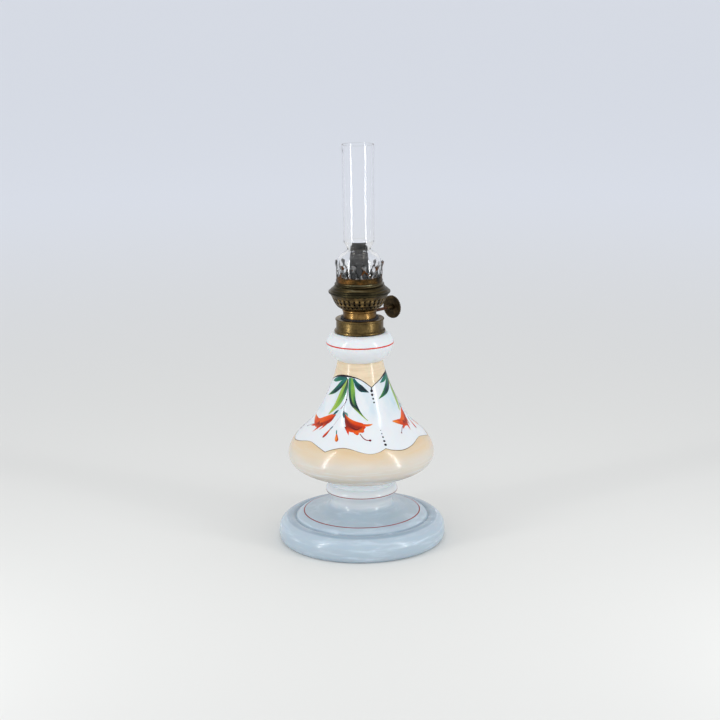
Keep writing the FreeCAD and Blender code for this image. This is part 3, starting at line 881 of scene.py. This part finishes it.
def bent_crown():
    """Band and twelve worn spring prongs, in place of the regular ones."""
    chance = random.Random(11)
    verts = []
    for k in range(BAND_TURNS):
        for z, out in CROWN_BAND:
            verts.append(crown_point(2 * math.pi * k / BAND_TURNS, 0.0, z, out))
    faces = ring_faces(BAND_TURNS, len(CROWN_BAND))
    for k in range(PRONGS):
        prong_mesh(2 * math.pi * k / PRONGS, chance, verts, faces)
    crown = mesh_piece("bent_crown", verts, faces, heat_tinted_brass())
    sheet = crown.modifiers.new("sheet", "SOLIDIFY")
    sheet.thickness = CROWN_SHEET
    sheet.offset = 1.0
    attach(crown, "burner")
    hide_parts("crown")


# ---------------------------------------------------------------- stage

FLOOR_HALF = 60.0
FLOOR_COOLS = (0.25, 2.0)            # distances from the lamp between which the floor turns cooler
WORLD_COLOUR = (0.955, 0.97, 1.0, 1.0)
WORLD_STRENGTH = 0.85
LIGHTS_AIM = (0.0, 0.0, 0.12)
STRIP_BEARING = 57.0
STRIP_DISTANCE = 0.6
STRIP_HEIGHT = 0.40
STRIP_SIZE = (0.04, 0.8)
STRIP_POWER = 1.5


def sweep_material():
    """Pale floor that turns slightly cooler away from the lamp."""
    finish = Finish("pale_sweep", Roughness=0.7)
    length = finish.node("VectorMath", {0: finish.place()}, operation="LENGTH")
    away = finish.step(length.outputs["Value"], *FLOOR_COOLS)
    finish.colour(finish.mix(away, srgb(221, 221, 218), srgb(232, 236, 244)))
    return finish.material


def floor():
    verts = [(-FLOOR_HALF, -FLOOR_HALF, 0), (FLOOR_HALF, -FLOOR_HALF, 0),
             (FLOOR_HALF, FLOOR_HALF, 0), (-FLOOR_HALF, FLOOR_HALF, 0)]
    piece = mesh_piece("pale_floor", verts, [(0, 1, 2, 3)], sweep_material(), smooth=False)


def area_light(name, place, aim, size, power, mirrored=True):
    """Rectangular light; one that isn't mirrored stays out of reflections."""
    data = bpy.data.lights.new(name, "AREA")
    data.shape = "RECTANGLE"
    data.size, data.size_y = size
    data.energy = power
    lamp = bpy.data.objects.new(name, data)
    bpy.context.scene.collection.objects.link(lamp)
    lamp.location = place
    lamp.visible_glossy = mirrored
    lamp.rotation_euler = (Vector(aim) - Vector(place)).to_track_quat("-Z", "Y").to_euler()


def around_lamp(bearing, distance, z):
    angle = FRONT + math.radians(bearing)
    return (distance * math.cos(angle), distance * math.sin(angle), z)


def lights():
    world = bpy.data.worlds.new("studio")
    bpy.context.scene.world = world
    world.use_nodes = True
    background = world.node_tree.nodes["Background"]
    background.inputs["Color"].default_value = WORLD_COLOUR
    background.inputs["Strength"].default_value = WORLD_STRENGTH
    for name, bearing in (("strip_left", -STRIP_BEARING), ("strip_right", STRIP_BEARING)):
        place = around_lamp(bearing, STRIP_DISTANCE, STRIP_HEIGHT)
        area_light(name, place, (0.0, 0.0, STRIP_HEIGHT), STRIP_SIZE, STRIP_POWER)
    area_light("front_fill", around_lamp(0, 1.6, 0.95), LIGHTS_AIM, (1.5, 0.6), 1.4, mirrored=False)
    area_light("bar", around_lamp(0, 1.7, 0.62), LIGHTS_AIM, (0.9, 0.03), 0.5)
    area_light("ceiling", (0.0, 0.0, 1.9), LIGHTS_AIM, (2.2, 2.2), 3.0)


# ---------------------------------------------------------------- camera

LENS = 85.0
SENSOR = 36.0
VIEW_ELEVATION = 13.8
VIEW_DISTANCE = 1.292
VIEW_HEIGHT = 0.14076                # height on the lamp's axis at the picture's middle
VIEW_ROLL = 0.65
VIEW_SHIFT = -0.0003


def camera():
    data = bpy.data.cameras.new("camera")
    data.lens = LENS
    data.sensor_width = SENSOR
    eye = bpy.data.objects.new("camera", data)
    bpy.context.scene.collection.objects.link(eye)
    rise = math.radians(VIEW_ELEVATION)
    aim = Vector((0.0, 0.0, VIEW_HEIGHT))
    out = Vector(around_lamp(0.0, math.cos(rise), math.sin(rise)))
    eye.location = aim + out * VIEW_DISTANCE
    turn = (-out).to_track_quat("-Z", "Y").to_matrix()
    roll = Matrix.Rotation(math.radians(-VIEW_ROLL), 3, "Z")
    eye.rotation_euler = (turn @ roll).to_euler()
    data.shift_x = VIEW_SHIFT
    bpy.context.scene.camera = eye


# ---------------------------------------------------------------- assembly

FINISHES = (
    (blue_foot_glass, ("glass_foot",)),
    (painted_opal, ("glass_fount",)),
    (clear_glass, ("chimney",)),
    (dark_brass, ("chimney_seat", "air_plate")),
    (gallery_brass, ("gallery",)),
    (basket_brass, ("air_basket",)),
    (collar_brass, ("collar",)),
    (golden_brass, ("burner_sleeve", "sleeve_bead", "base_plate", "shaft_bracket", "shaft_guide")),
    (wick_tube_metal, ("wick_tube", "tube_cap")),
    # air tube: near-black painted shade inside the cap
    (painted_shade_black, ("air_tube",)),
    (browned_steel, ("wick_shaft", "shaft_stops", "spur_wheels")),
    (wheel_metal, ("thumbwheel", "thumbwheel_rivet")),
    (plaster, ("foot_cement", "collar_cement")),
    # burner_gasket is a dark ring standing for the shadow in the gap under the burner's neck: painted
    # shadow
    (washer, ("burner_gasket",)),
    (cotton, ("wick", "wick_tails")),
)


def finish_cad_nodes():
    """The crown isn't here: bent_crown stands in for it."""
    for make_material, names in FINISHES:
        material = make_material()
        for name in names:
            assign(name, material)


camera()
lights()
floor()
finish_cad_nodes()
paint_panels()
paint_rings()
bent_crown()
bpy.context.scene.view_settings.view_transform = "Standard"
